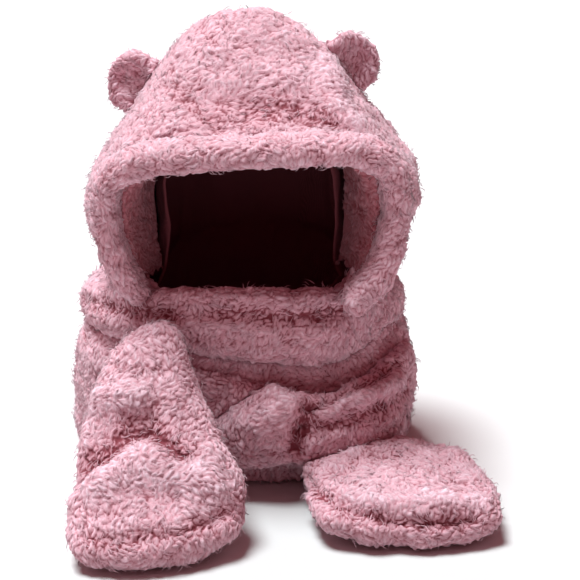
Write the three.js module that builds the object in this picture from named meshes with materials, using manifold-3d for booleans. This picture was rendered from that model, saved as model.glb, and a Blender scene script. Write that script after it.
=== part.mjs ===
// Animal hood scarf: a padded sherpa hood with two round ears, on a scarf that is wound round the neck
// and ends in two mitten pockets. Millimetres, +Z up, -Y to the front, +X to the wearer's left.
// Plan positions are first measured from the middle of the neck. At the end the whole group is moved so
// that its origin lies under the middle of its box, on the surface that it stands on.
import * as THREE from "three";
import { mergeVertices } from "three/addons/utils/BufferGeometryUtils.js";
import Module from "manifold-3d";

const wasm = await Module();
wasm.setup();

// Driving dimensions
const clearance = 0.3; // between pieces that touch
const neckWidth = 216; // outside of the hood where the scarf is wound round it
const neckDepth = 188;
const hoodWidth = 300; // at its widest, behind the cuff
const hoodDepth = 218; // from the face edge to the back
const hoodHeight = 252; // from the neck seam to the peak
const hoodSkirt = 54; // how far the hood reaches down inside the scarf
const hoodWall = 14; // padded sherpa, pile included
const hoodRoll = 2.5; // degrees that the empty hood leans to one side
const hoodShift = 6; // how far it leans over the neck
const liningWidth = 180; // the loose lining hangs in from the hood's sides
const liningWall = 2;
const facingDepth = 47; // sherpa band inside the face opening
const facingWall = 12;
const openingWidth = 218; // face opening at the cuff
const openingHeight = 140; // from the scarf to the top of the opening
const openingInside = 160; // face opening at the lining
const openingFoot = 0.76; // its width at the scarf as a share of its width at mid height
const brimWidth = 30; // cuff, seen from the front
const brimDepth = 52;
const earDiameter = 60;
const earThickness = 28;
const upperTurnHeight = 62;
const upperTurnThickness = 42;
const lowerTurnHeight = 122;
const lowerTurnThickness = 50;
const tailWidth = 84; // scarf tails, bunched up where they cross
const tailThickness = 44;
const pocketLength = 215;
const pocketWidth = 162;
const pocketThickness = 62;
const pocketHollowWidth = 112; // room for a hand
const pocketHollowThickness = 13;
const hug = 2; // how far the scarf presses into the hood's neck

// Sizes that follow from them
const neckSeam = lowerTurnHeight + 0.45 * upperTurnHeight;
const scarfTop = lowerTurnHeight + upperTurnHeight;
const neckBack = 0.47 * neckDepth;
const neckFront = neckBack - neckDepth;
const hoodBack = 0.505 * hoodDepth;
const hoodFace = hoodBack - hoodDepth;

const sherpa = { color: 0xc9949f, roughness: 0.95, metalness: 0 };
const lining = { color: 0x1c0a0d, roughness: 0.85, metalness: 0 };

// Value of a column at a place, on a smooth curve through the rows. Rows are in the order of their at.
function smooth(rows, column, at) {
  const last = rows.length - 1;
  let i = 0;
  while (i < last - 1 && at > rows[i + 1].at) i += 1;
  const slope = (k) => {
    const before = rows[Math.max(k - 1, 0)];
    const after = rows[Math.min(k + 1, last)];
    return (after[column] - before[column]) / (after.at - before.at);
  };
  const span = rows[i + 1].at - rows[i].at;
  const t = Math.min(Math.max((at - rows[i].at) / span, 0), 1);
  const rise = rows[i + 1][column] - rows[i][column];
  const ease = t * t * (3 - 2 * t);
  const start = slope(i) * span * t * (1 - t) * (1 - t);
  const end = slope(i + 1) * span * t * t * (1 - t);
  return rows[i][column] + rise * ease + start - end;
}

// The same for rows that go once round a ring, with at in degrees from the first row.
function smoothRing(rows, column, degrees) {
  const around = ((degrees % 360) + 360) % 360;
  const first = { ...rows[0], at: rows[0].at + 360 };
  const second = { ...rows[1], at: rows[1].at + 360 };
  const before = { ...rows[rows.length - 1], at: rows[rows.length - 1].at - 360 };
  return smooth([before, ...rows, first, second], column, around);
}

// Cosine and sine drawn out towards a rounded square: 2 is a circle, more is squarer.
function squared(angle, power) {
  const bend = (v) => Math.sign(v) * Math.abs(v) ** (2 / power);
  return [bend(Math.cos(angle)), bend(Math.sin(angle))];
}

// A bump of height 1 that fades over the given width.
function bump(distance, width) {
  return Math.exp(-((distance / width) ** 2));
}

function between(count, make) {
  return Array.from({ length: count }, (_, i) => make(i));
}

// Closed surface through rings of equally many points. A chain of rings gets an end point at each end.
function skin(rings, { loop = false } = {}) {
  const sides = rings[0].length;
  const points = rings.flat();
  const faces = [];
  const steps = loop ? rings.length : rings.length - 1;
  for (let i = 0; i < steps; i += 1) {
    const here = i * sides;
    const next = ((i + 1) % rings.length) * sides;
    for (let j = 0; j < sides; j += 1) {
      const k = (j + 1) % sides;
      faces.push(here + j, here + k, next + k, here + j, next + k, next + j);
    }
  }
  if (!loop) {
    const middle = (ring) =>
      ring.reduce((sum, p) => sum.add(p), new THREE.Vector3()).divideScalar(sides);
    const lastRing = (rings.length - 1) * sides;
    points.push(middle(rings[0]), middle(rings[rings.length - 1]));
    for (let j = 0; j < sides; j += 1) {
      const k = (j + 1) % sides;
      faces.push(points.length - 2, k, j, points.length - 1, lastRing + j, lastRing + k);
    }
  }
  const geometry = new THREE.BufferGeometry().setFromPoints(points);
  geometry.setIndex(faces);
  return facingOut(geometry);
}

function facingOut(geometry) {
  const place = geometry.attributes.position;
  const index = geometry.index.array;
  const corner = (n) => new THREE.Vector3().fromBufferAttribute(place, index[n]);
  let volume = 0;
  for (let n = 0; n < index.length; n += 3)
    volume += corner(n).dot(corner(n + 1).cross(corner(n + 2)));
  if (volume < 0)
    for (let n = 0; n < index.length; n += 3)
      [index[n + 1], index[n + 2]] = [index[n + 2], index[n + 1]];
  return geometry;
}

// The same surface moved out by a distance, or in by a negative one.
function grown(geometry, distance) {
  const copy = geometry.clone();
  copy.computeVertexNormals();
  const place = copy.attributes.position;
  const normal = copy.attributes.normal;
  for (let n = 0; n < place.count; n += 1)
    place.setXYZ(
      n,
      place.getX(n) + distance * normal.getX(n),
      place.getY(n) + distance * normal.getY(n),
      place.getZ(n) + distance * normal.getZ(n),
    );
  copy.deleteAttribute("normal");
  return copy;
}

function solid(geometry) {
  return new wasm.Manifold(
    new wasm.Mesh({
      numProp: 3,
      vertProperties: new Float32Array(geometry.attributes.position.array),
      triVerts: new Uint32Array(geometry.index.array),
    }),
  );
}

// A piece less its neighbours, with the clearance kept.
function seated(piece, neighbours) {
  return neighbours.reduce((rest, form) => rest.subtract(solid(grown(form, clearance))), piece);
}

function named(name, shape, look) {
  const made = shape.getMesh();
  const geometry = new THREE.BufferGeometry();
  geometry.setAttribute("position", new THREE.BufferAttribute(made.vertProperties, 3));
  geometry.setIndex(new THREE.BufferAttribute(made.triVerts, 1));
  geometry.computeVertexNormals();
  const mesh = new THREE.Mesh(geometry, new THREE.MeshStandardMaterial(look));
  mesh.name = name;
  return mesh;
}

// The empty hood slips to one side above its neck seam, and leans back the other way.
const roll = new THREE.Matrix4()
  .makeTranslation(0, 0, neckSeam)
  .multiply(new THREE.Matrix4().makeRotationY(THREE.MathUtils.degToRad(-hoodRoll)))
  .multiply(new THREE.Matrix4().makeTranslation(0, 0, -neckSeam));
function leaning(geometry) {
  const place = geometry.attributes.position;
  for (let n = 0; n < place.count; n += 1) {
    const above = THREE.MathUtils.smoothstep(place.getZ(n), neckSeam, neckSeam + 0.3 * hoodHeight);
    place.setX(n, place.getX(n) + hoodShift * above);
  }
  return geometry.applyMatrix4(roll);
}

// Level slices of a hollow form. at is the height above the neck seam as a share of hoodHeight, half the
// half width as a share of the width, front and back the reach as shares of the depth's, square how
// squarely the front turns into the sides, and dent how deep the front is pressed in.
function stacked(rows, { width, front, back, sides, levels, below = 0 }) {
  const lowest = rows[0].at;
  const highest = rows[rows.length - 1].at;
  const ring = (share, drop) => {
    const half = smooth(rows, "half", share) * width;
    const near = smooth(rows, "front", share) * front;
    const far = smooth(rows, "back", share) * back;
    const middle = (near + far) / 2;
    return between(sides, (j) => {
      const angle = (j / sides) * 2 * Math.PI;
      const [across, along] = squared(angle, angle > Math.PI ? smooth(rows, "square", share) : 2.5);
      const dent = smooth(rows, "dent", share) * bump(across - 0.15, 0.5) * (along < 0 ? along : 0);
      return new THREE.Vector3(
        half * across,
        middle + ((far - near) / 2) * along - dent,
        neckSeam + share * hoodHeight - drop,
      );
    });
  };
  const rings = between(levels, (i) => {
    const t = i / (levels - 1);
    return ring(lowest + (highest - lowest) * (1 - (1 - t) ** 1.35), 0);
  });
  return skin(below ? [ring(lowest, below), ...rings] : rings);
}

// The hood: narrow at the neck, widest at the temples, and drawn to a soft peak. Above the cuff its front
// slopes back and is pressed in a little beside the middle.
const skirtShare = hoodSkirt / hoodHeight;
const neckHalf = neckWidth / 2 / hoodWidth;
const crownRows = [
  { at: -skirtShare, half: neckHalf * 0.97, front: neckFront / hoodFace, back: 0.8, square: 2.5, dent: 0 },
  { at: 0, half: neckHalf, front: neckFront / hoodFace, back: 0.83, square: 2.7, dent: 0 },
  { at: 0.1, half: 0.386, front: 0.93, back: 0.86, square: 3.6, dent: 0 },
  { at: 0.22, half: 0.455, front: 0.96, back: 0.92, square: 5, dent: 0 },
  { at: 0.33, half: 0.5, front: 0.97, back: 0.98, square: 5, dent: 0 },
  { at: 0.435, half: 0.492, front: 0.98, back: 1, square: 5, dent: 0 },
  { at: 0.54, half: 0.432, front: 1, back: 0.98, square: 4.8, dent: 0 },
  { at: 0.64, half: 0.36, front: 1.03, back: 0.92, square: 3.8, dent: 0 },
  { at: 0.71, half: 0.318, front: 0.84, back: 0.85, square: 2.9, dent: 8 },
  { at: 0.785, half: 0.276, front: 0.6, back: 0.76, square: 2.5, dent: 7 },
  { at: 0.86, half: 0.226, front: 0.36, back: 0.63, square: 2.4, dent: 2 },
  { at: 0.92, half: 0.172, front: 0.18, back: 0.5, square: 2.3, dent: 0 },
  { at: 0.97, half: 0.108, front: 0, back: 0.35, square: 2.2, dent: 0 },
  { at: 1, half: 0.036, front: -0.07, back: 0.2, square: 2.2, dent: 0 },
];
const crownForm = (below = 0) =>
  leaning(
    stacked(crownRows, {
      width: hoodWidth,
      front: hoodFace,
      back: hoodBack,
      sides: 26,
      levels: 15,
      below,
    }),
  );

// The lining hangs loose in the hood, closer in at the sides, and lies against it where the hood is narrow.
const liningRows = [
  { at: -0.2, half: 0.58, front: 1, back: 0.9, square: 2.5, dent: 0 },
  { at: 0, half: 0.57, front: 0.98, back: 0.88, square: 2.5, dent: 0 },
  { at: 0.12, half: 0.5, front: 0.86, back: 0.76, square: 2.8, dent: 0 },
  { at: 0.33, half: 0.49, front: 0.8, back: 0.76, square: 3, dent: 0 },
  { at: 0.5, half: 0.49, front: 0.8, back: 0.76, square: 3, dent: 0 },
  { at: 0.62, half: 0.44, front: 0.72, back: 0.7, square: 2.8, dent: 0 },
  { at: 0.74, half: 0.34, front: 0.48, back: 0.54, square: 2.5, dent: 0 },
  { at: 0.83, half: 0.2, front: 0.2, back: 0.36, square: 2.5, dent: 0 },
  { at: 0.86, half: 0.05, front: 0, back: 0.2, square: 2.5, dent: 0 },
];
const liningForm = (below = 0) =>
  leaning(
    stacked(liningRows, {
      width: liningWidth,
      front: hoodFace,
      back: hoodBack,
      sides: 16,
      levels: 9,
      below,
    }),
  );

// Way in through the face opening, as a filled block: an arch, round at its top and square at its foot,
// that closes in from the cuff to the lining.
const facingBack = hoodFace + facingDepth;
const archRows = [
  { at: 0, half: openingWidth / 2, top: openingHeight },
  { at: 0.34, half: 0.62 * (openingWidth / 2) + 0.38 * (openingInside / 2), top: openingHeight + 9 },
  { at: 0.68, half: 0.25 * (openingWidth / 2) + 0.75 * (openingInside / 2), top: openingHeight + 18 },
  { at: 1, half: openingInside / 2, top: openingHeight + 26 },
];
const archFoot = neckSeam + 16;
function archForm(wall, { ahead = 0, behind = 0, deeper = 0 }) {
  const sides = 18;
  const arch = (share, y) => {
    const half = smooth(archRows, "half", share) + wall;
    const top = neckSeam + smooth(archRows, "top", share) + wall;
    const foot = archFoot - deeper;
    const middle = (top + foot) / 2;
    return between(sides, (j) => {
      const roundness = j < sides / 2 ? 4 : 9;
      const [across, up] = squared(((j + 0.5) / sides) * 2 * Math.PI, roundness);
      const taper = up < 0 ? 1 - (1 - openingFoot) * (up * up) : 1;
      return new THREE.Vector3(half * across * taper, y, middle + ((top - foot) / 2) * up);
    });
  };
  const rings = between(5, (i) => arch(i / 4, hoodFace + (i / 4) * facingDepth));
  if (ahead) rings.unshift(arch(0, hoodFace - ahead));
  if (behind) rings.push(arch(1, facingBack + behind));
  return leaning(skin(rings));
}

// Route of the cuff from its left end over the top to its right end. at is the share of the way, up the
// height as a share of the opening's, across its half width as a share of the opening's, forward in mm
// as a share of the cuff's depth, thick as a share of its width.
const brimRows = [
  { at: -1, across: 0.78, up: 0.1, forward: -0.28, thick: 0.6 },
  { at: -0.84, across: 0.94, up: 0.27, forward: 0, thick: 0.76 },
  { at: -0.67, across: 1.06, up: 0.45, forward: 0.15, thick: 0.84 },
  { at: -0.5, across: 1.12, up: 0.73, forward: 0.2, thick: 0.9 },
  { at: -0.38, across: 1.07, up: 0.96, forward: 0.24, thick: 0.96 },
  { at: -0.25, across: 0.8, up: 1.07, forward: 0.31, thick: 1.04 },
  { at: 0, across: 0, up: 1.1, forward: 0.39, thick: 1.04 },
  { at: 0.25, across: -0.82, up: 1.08, forward: 0.31, thick: 1.04 },
  { at: 0.38, across: -1.1, up: 0.97, forward: 0.24, thick: 1 },
  { at: 0.5, across: -1.15, up: 0.73, forward: 0.2, thick: 0.96 },
  { at: 0.67, across: -1.08, up: 0.45, forward: 0.24, thick: 0.98 },
  { at: 0.84, across: -0.95, up: 0.24, forward: 0.42, thick: 1.08 },
  { at: 1, across: -0.72, up: 0.11, forward: 0.58, thick: 1.16 },
];
const brimForm = (() => {
  const point = (at) =>
    new THREE.Vector3(
      -smooth(brimRows, "across", at) * (openingWidth / 2),
      hoodFace - smooth(brimRows, "forward", at) * brimDepth,
      neckSeam + smooth(brimRows, "up", at) * openingHeight,
    );
  const steps = 30;
  const rings = between(steps + 1, (i) => {
    const at = -1 + (2 * i) / steps;
    const centre = point(at);
    const along = point(Math.min(at + 0.02, 1)).sub(point(Math.max(at - 0.02, -1)));
    const out = new THREE.Vector3(along.z, 0, -along.x).normalize();
    const round = Math.min(1, Math.sqrt(Math.max(1 - (1 - endShare(at)) ** 2, 0.04)));
    const half = (brimWidth / 2) * smooth(brimRows, "thick", at) * round;
    const deep = (brimDepth / 2) * (0.4 + 0.6 * smooth(brimRows, "thick", at)) * round;
    return between(12, (j) => {
      const [side, front] = squared((j / 12) * 2 * Math.PI, 2.3);
      return centre
        .clone()
        .addScaledVector(out, half * side)
        .add(new THREE.Vector3(0, deep * front, 0));
    });
  });
  return leaning(skin(rings));
})();

// How far a place on a route from -1 to 1 is past its rounded end, from 0 at the end to 1.
function endShare(at) {
  return Math.min(1, (1 - Math.abs(at)) / 0.1);
}

// Round ears with a dished front, on the back slope of the crown. across and up are shares of the hood's
// width and height, turn and nod are degrees outward and upward.
const earRows = [
  { name: "ear_left", across: -0.336, up: 0.735, turn: -16, nod: 8 },
  { name: "ear_right", across: 0.31, up: 0.775, turn: 14, nod: 6 },
];
const earProfile = [
  { out: 0, deep: -0.1 },
  { out: 0.4, deep: -0.14 },
  { out: 0.7, deep: -0.36 },
  { out: 0.88, deep: -0.34 },
  { out: 1, deep: 0 },
  { out: 0.86, deep: 0.36 },
  { out: 0.5, deep: 0.48 },
  { out: 0, deep: 0.5 },
];
function earForm({ across, up, turn, nod }) {
  const profile = earProfile.map(
    (row) => new THREE.Vector2((row.out * earDiameter) / 2, row.deep * earThickness),
  );
  const lathe = new THREE.LatheGeometry(profile, 18);
  lathe.deleteAttribute("normal");
  lathe.deleteAttribute("uv");
  const form = mergeVertices(lathe, 1e-3);
  form.rotateX(THREE.MathUtils.degToRad(-nod));
  form.rotateZ(THREE.MathUtils.degToRad(turn));
  form.translate(across * hoodWidth, 0.2 * hoodBack, neckSeam + up * hoodHeight);
  return facingOut(leaning(form));
}

// A turn of the scarf round the hood's neck, flat where it rests on the floor. Its rows go round from the wearer's left: at in degrees, thick
// its thickness, low and high its lower and upper edge, each as a share of its own size. Where it is
// thicker it bulges outward. crease is how deep the fold along its outside is.
function turnForm(rows, { thickness, height, foot, sides, steps, creaseAt, crease }) {
  const rings = between(steps, (i) => {
    const degrees = (i / steps) * 360;
    const angle = THREE.MathUtils.degToRad(degrees);
    const thick = smoothRing(rows, "thick", degrees) * thickness;
    const low = foot + smoothRing(rows, "low", degrees) * height;
    const high = foot + smoothRing(rows, "high", degrees) * height;
    const [across, along] = squared(angle, 2.3);
    const reach = thick / 2 - hug;
    const centre = new THREE.Vector3(
      (neckWidth / 2 + reach) * across,
      (neckFront + neckBack) / 2 + (neckDepth / 2 + reach) * along,
      (low + high) / 2,
    );
    const outward = new THREE.Vector3(Math.cos(angle), Math.sin(angle), 0);
    return between(sides, (j) => {
      const [out, up] = squared((j / sides) * 2 * Math.PI, 2.4);
      const pinch = out > 0 ? crease * bump(up - creaseAt, 0.22) * out : 0;
      const belly = out > 0 ? 1 - 0.12 * up : 1;
      const point = centre.clone().addScaledVector(outward, (thick / 2) * out * belly - pinch);
      point.z = Math.max(0, point.z + ((high - low) / 2) * up);
      return point;
    });
  });
  return skin(rings, { loop: true });
}

const upperTurnRows = [
  { at: 0, thick: 0.86, low: 0.04, high: 0.6 },
  { at: 45, thick: 0.9, low: -0.02, high: 0.56 },
  { at: 90, thick: 0.95, low: -0.05, high: 0.55 },
  { at: 135, thick: 1.08, low: -0.05, high: 0.58 },
  { at: 180, thick: 1.24, low: -0.04, high: 0.62 },
  { at: 225, thick: 1.08, low: 0.04, high: 0.86 },
  { at: 250, thick: 1, low: 0, high: 0.99 },
  { at: 275, thick: 1.05, low: -0.12, high: 1 },
  { at: 300, thick: 1.05, low: -0.2, high: 0.95 },
  { at: 330, thick: 0.94, low: 0.1, high: 0.78 },
];
const upperTurn = turnForm(upperTurnRows, {
  thickness: upperTurnThickness,
  height: upperTurnHeight,
  foot: lowerTurnHeight,
  sides: 12,
  steps: 32,
  creaseAt: 0.3,
  crease: 5,
});

const lowerTurnRows = [
  { at: 0, thick: 0.9, low: -0.08, high: 1.08 },
  { at: 45, thick: 1, low: -0.08, high: 1.04 },
  { at: 90, thick: 1, low: -0.08, high: 1.04 },
  { at: 135, thick: 1.04, low: -0.08, high: 1.04 },
  { at: 180, thick: 1.22, low: -0.08, high: 1.04 },
  { at: 225, thick: 0.96, low: -0.08, high: 1.1 },
  { at: 270, thick: 0.56, low: -0.08, high: 1.08 },
  { at: 315, thick: 0.76, low: -0.08, high: 1.08 },
];
const lowerTurn = turnForm(lowerTurnRows, {
  thickness: lowerTurnThickness,
  height: lowerTurnHeight,
  foot: 0,
  sides: 12,
  steps: 28,
  creaseAt: -0.1,
  crease: 2,
});

// A soft strip along a route. Each row has its point, and wide and thick as shares of the given sizes.
// wideAlong is roughly the direction that its width lies in.
function stripForm(rows, { width, thickness, wideAlong, sides, steps, power = 2.3, relief = () => 0 }) {
  const point = (at) =>
    new THREE.Vector3(smooth(rows, "x", at), smooth(rows, "y", at), smooth(rows, "z", at));
  const rings = between(steps + 1, (i) => {
    const at = i / steps - 0.08 * Math.sin((i / steps) * 2 * Math.PI);
    const centre = point(at);
    const along = point(Math.min(at + 0.01, 1)).sub(point(Math.max(at - 0.01, 0))).normalize();
    const wide = wideAlong.clone().normalize();
    const face = new THREE.Vector3().crossVectors(along, wide).normalize();
    const halfWide = (smooth(rows, "wide", at) * width) / 2;
    const halfThick = (smooth(rows, "thick", at) * thickness) / 2;
    return between(sides, (j) => {
      const [across, out] = squared((j / sides) * 2 * Math.PI, power);
      const swell = out * (halfThick + (out > 0 ? relief(at, across) : 0));
      const p = centre
        .clone()
        .addScaledVector(wide, halfWide * across)
        .addScaledVector(face, swell);
      p.z = Math.max(0, p.z);
      return p;
    });
  });
  return skin(rings);
}

// Places of a scarf tail: x in shares of the neck's half width, ahead of the neck's front in shares of the
// lower turn's thickness, z in shares of its height.
function tailPlaces(rows) {
  return rows.map((row) => ({
    ...row,
    x: (row.x * neckWidth) / 2,
    y: neckFront - row.ahead * lowerTurnThickness,
    z: row.z * lowerTurnHeight,
  }));
}

// The tail that comes off the wearer's left side, narrows to a pinch where the tails cross, and swells
// into a roll that goes behind the left pocket.
const overTailRows = [
  { at: 0, x: 1.2, ahead: -1.67, z: 0.62, wide: 0.8, thick: 0.4 },
  { at: 0.14, x: 1.23, ahead: -0.8, z: 0.58, wide: 1.08, thick: 0.74 },
  { at: 0.3, x: 1.06, ahead: 0.16, z: 0.55, wide: 1.0, thick: 0.92 },
  { at: 0.46, x: 0.76, ahead: 0.68, z: 0.52, wide: 0.84, thick: 1 },
  { at: 0.58, x: 0.48, ahead: 0.84, z: 0.52, wide: 0.74, thick: 0.92 },
  { at: 0.7, x: 0.2, ahead: 0.84, z: 0.54, wide: 0.94, thick: 1.08 },
  { at: 0.82, x: -0.06, ahead: 0.8, z: 0.46, wide: 0.78, thick: 1.05 },
  { at: 0.92, x: -0.28, ahead: 0.72, z: 0.4, wide: 0.5, thick: 0.8 },
  { at: 1, x: -0.44, ahead: 0.64, z: 0.4, wide: 0.36, thick: 0.6 },
];
const overTail = stripForm(tailPlaces(overTailRows), {
  width: tailWidth,
  thickness: tailThickness,
  wideAlong: new THREE.Vector3(-0.1, 0, -1),
  sides: 12,
  steps: 24,
});

// The other tail comes off the wearer's right side, goes behind the first and down to the right pocket.
const underTailRows = [
  { at: 0, x: -0.92, ahead: -0.08, z: 0.62, wide: 0.6, thick: 0.4 },
  { at: 0.2, x: -0.55, ahead: 0.44, z: 0.62, wide: 0.9, thick: 0.6 },
  { at: 0.5, x: 0.1, ahead: 0.52, z: 0.5, wide: 0.94, thick: 0.62 },
  { at: 0.75, x: 0.6, ahead: 0.44, z: 0.36, wide: 0.72, thick: 0.6 },
  { at: 1, x: 0.92, ahead: 0.12, z: 0.34, wide: 0.4, thick: 0.4 },
];
const underTail = stripForm(tailPlaces(underTailRows), {
  width: tailWidth,
  thickness: tailThickness,
  wideAlong: new THREE.Vector3(0, 0, -1),
  sides: 12,
  steps: 16,
});

// The left pocket stands on its toe and leans back on the scarf. Its wrist end is the peak at the top.
// x, y and z are shares of the neck's half width, the pocket's length and the height of the scarf.
const againstScarf = neckFront - upperTurnThickness;
const leftRows = [
  { at: 0, x: -0.72, y: -0.02, z: 0.865, wide: 0.12, thick: 0.26 },
  { at: 0.05, x: -0.73, y: 0, z: 0.83, wide: 0.28, thick: 0.54 },
  { at: 0.15, x: -0.77, y: 0.045, z: 0.73, wide: 0.43, thick: 0.72 },
  { at: 0.3, x: -0.79, y: 0.13, z: 0.58, wide: 0.58, thick: 0.88 },
  { at: 0.48, x: -0.73, y: 0.26, z: 0.4, wide: 0.77, thick: 1.02 },
  { at: 0.64, x: -0.67, y: 0.41, z: 0.26, wide: 0.9, thick: 1 },
  { at: 0.78, x: -0.67, y: 0.54, z: 0.16, wide: 0.93, thick: 0.9 },
  { at: 0.89, x: -0.71, y: 0.65, z: 0.11, wide: 0.82, thick: 0.78 },
  { at: 0.96, x: -0.77, y: 0.72, z: 0.095, wide: 0.62, thick: 0.6 },
  { at: 1, x: -0.79, y: 0.77, z: 0.09, wide: 0.2, thick: 0.2 },
];
const rightRows = [
  { at: 0, x: 0.98, y: -0.14, z: 0.19, wide: 0.4, thick: 0.34 },
  { at: 0.1, x: 1.03, y: -0.11, z: 0.18, wide: 0.58, thick: 0.5 },
  { at: 0.22, x: 1.09, y: -0.06, z: 0.165, wide: 0.8, thick: 0.68 },
  { at: 0.36, x: 1.13, y: 0.02, z: 0.15, wide: 0.95, thick: 0.8 },
  { at: 0.52, x: 1.18, y: 0.14, z: 0.135, wide: 1.02, thick: 0.82 },
  { at: 0.7, x: 1.22, y: 0.31, z: 0.125, wide: 1.02, thick: 0.8 },
  { at: 0.84, x: 1.25, y: 0.44, z: 0.115, wide: 0.97, thick: 0.74 },
  { at: 0.93, x: 1.27, y: 0.51, z: 0.105, wide: 0.85, thick: 0.62 },
  { at: 1, x: 1.29, y: 0.57, z: 0.1, wide: 0.4, thick: 0.34 },
];
function placed(rows) {
  return rows.map((row) => ({
    ...row,
    x: (row.x * neckWidth) / 2,
    y: againstScarf - row.y * pocketLength,
    z: row.z * scarfTop,
  }));
}

// Under the fold that runs over the left pocket's front, the lower half bulges out.
function leftFold(at, across) {
  const line = 0.56 - 0.13 * Math.cos(1.5 * across);
  return 5 * bump(at - line - 0.12, 0.1) - 6 * bump(at - line, 0.05);
}
function rightFold(at, across) {
  return 3 * bump(at - 0.8, 0.08) * bump(across, 0.7);
}

function pocketForm(rows, wideAlong, relief) {
  return stripForm(placed(rows), {
    width: pocketWidth,
    thickness: pocketThickness,
    wideAlong,
    sides: 16,
    steps: 18,
    power: 2.2,
    relief,
  });
}

// Room for the hand: it follows the pocket from near its toe and comes out at the wrist, towards the neck.
const leftHollowRows = [
  { at: 0, x: -0.76, y: -0.15, z: 0.55, wide: 0.7, thick: 1 },
  { at: 0.16, x: -0.77, y: 0.03, z: 0.55, wide: 0.7, thick: 1 },
  { at: 0.34, x: -0.76, y: 0.16, z: 0.5, wide: 0.8, thick: 1 },
  { at: 0.6, x: -0.72, y: 0.32, z: 0.34, wide: 1, thick: 1 },
  { at: 0.85, x: -0.72, y: 0.5, z: 0.2, wide: 0.95, thick: 1 },
  { at: 1, x: -0.75, y: 0.6, z: 0.145, wide: 0.5, thick: 0.7 },
];
const rightHollowRows = [
  { at: 0, x: 0.98, y: -0.3, z: 0.18, wide: 0.4, thick: 1 },
  { at: 0.15, x: 1.02, y: -0.16, z: 0.178, wide: 0.44, thick: 1 },
  { at: 0.32, x: 1.07, y: -0.06, z: 0.172, wide: 0.7, thick: 1 },
  { at: 0.5, x: 1.13, y: 0.06, z: 0.165, wide: 1, thick: 1 },
  { at: 0.8, x: 1.2, y: 0.26, z: 0.155, wide: 1, thick: 1 },
  { at: 1, x: 1.24, y: 0.4, z: 0.148, wide: 0.6, thick: 0.7 },
];
function hollowForm(rows, wideAlong) {
  return stripForm(placed(rows), {
    width: pocketHollowWidth,
    thickness: pocketHollowThickness,
    wideAlong,
    sides: 10,
    steps: 10,
  });
}

const leftWide = new THREE.Vector3(1, 0.1, 0);
const rightWide = new THREE.Vector3(1, 0.04, 0);
const leftPocket = pocketForm(leftRows, leftWide, leftFold);
const rightPocket = pocketForm(rightRows, rightWide, rightFold);

// The hood's pieces
const past = 60; // how far a cutting form runs past what it cuts
const crownOuter = crownForm();
const crownInside = grown(crownForm(past), -hoodWall);
const wayIn = archForm(facingWall + clearance, { ahead: past });
const crown = seated(solid(crownOuter).subtract(solid(crownInside)), [wayIn, brimForm]);
const facing = seated(
  solid(archForm(facingWall, {})).subtract(
    solid(archForm(0, { ahead: past, behind: past, deeper: past })),
  ),
  [brimForm, upperTurn],
);
const behindFacing = archForm(facingWall * 3, { ahead: past, behind: clearance });
const insideHood = solid(grown(crownInside, -clearance));
const insideLining = solid(grown(crownInside, -clearance - liningWall));
const loose = solid(liningForm())
  .intersect(insideHood)
  .subtract(solid(grown(liningForm(past), -liningWall)).intersect(insideLining))
  .subtract(solid(behindFacing));

function group(...members) {
  return new THREE.Group().add(...members);
}

const hood = group(
  named("hood_crown", crown, sherpa),
  named("hood_facing", facing, sherpa),
  named("hood_lining", loose, lining),
  named("hood_brim", solid(brimForm), sherpa),
  ...earRows.map((row) => named(row.name, seated(solid(earForm(row)), [crownOuter]), sherpa)),
);

// The scarf's pieces: each gives way to those that it lies against.
const scarf = group(
  named("neck_wrap", seated(solid(upperTurn), [crownOuter, brimForm]), sherpa),
  named("lower_wrap", seated(solid(lowerTurn), [crownOuter, upperTurn]), sherpa),
  named("scarf_tail_over", seated(solid(overTail), [upperTurn, lowerTurn]), sherpa),
  named("scarf_tail_under", seated(solid(underTail), [upperTurn, lowerTurn, overTail]), sherpa),
);
const pockets = group(
  named(
    "pocket_left",
    seated(solid(leftPocket).subtract(solid(hollowForm(leftHollowRows, leftWide))), [
      upperTurn,
      lowerTurn,
      overTail,
      underTail,
    ]),
    sherpa,
  ),
  named(
    "pocket_right",
    seated(solid(rightPocket).subtract(solid(hollowForm(rightHollowRows, rightWide))), [
      lowerTurn,
      overTail,
      underTail,
    ]),
    sherpa,
  ),
);

const hoodScarf = group(hood, scarf, pockets);
const box = new THREE.Box3().setFromObject(hoodScarf);
hoodScarf.position.set(-(box.min.x + box.max.x) / 2, -(box.min.y + box.max.y) / 2, -box.min.z);

export default hoodScarf;
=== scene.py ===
import math

import bmesh
import bpy
import numpy as np
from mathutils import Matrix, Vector
from mathutils.bvhtree import BVHTree
from mathutils.kdtree import KDTree


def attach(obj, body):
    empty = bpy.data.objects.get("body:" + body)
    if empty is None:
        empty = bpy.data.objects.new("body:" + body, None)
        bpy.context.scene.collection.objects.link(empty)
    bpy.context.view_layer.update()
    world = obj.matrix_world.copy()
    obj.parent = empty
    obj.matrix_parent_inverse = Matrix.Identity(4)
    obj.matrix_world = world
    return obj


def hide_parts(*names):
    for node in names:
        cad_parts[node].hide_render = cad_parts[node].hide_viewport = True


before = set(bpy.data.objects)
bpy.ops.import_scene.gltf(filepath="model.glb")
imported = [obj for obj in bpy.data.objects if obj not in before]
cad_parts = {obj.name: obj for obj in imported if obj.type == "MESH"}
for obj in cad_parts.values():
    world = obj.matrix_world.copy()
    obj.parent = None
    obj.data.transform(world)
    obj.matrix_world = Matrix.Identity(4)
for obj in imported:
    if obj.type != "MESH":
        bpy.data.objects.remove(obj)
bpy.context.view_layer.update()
mm = 0.001
groundGap = 0.0003
wispGroundGap = 0.0004
seedNumbers = {"form": 3, "lining": 9, "flow": 40, "ruffle": 60, "lumps": 77, "pile": 100}
scene = bpy.context.scene
print("frame loaded")


# Small helpers on arrays of points

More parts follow.
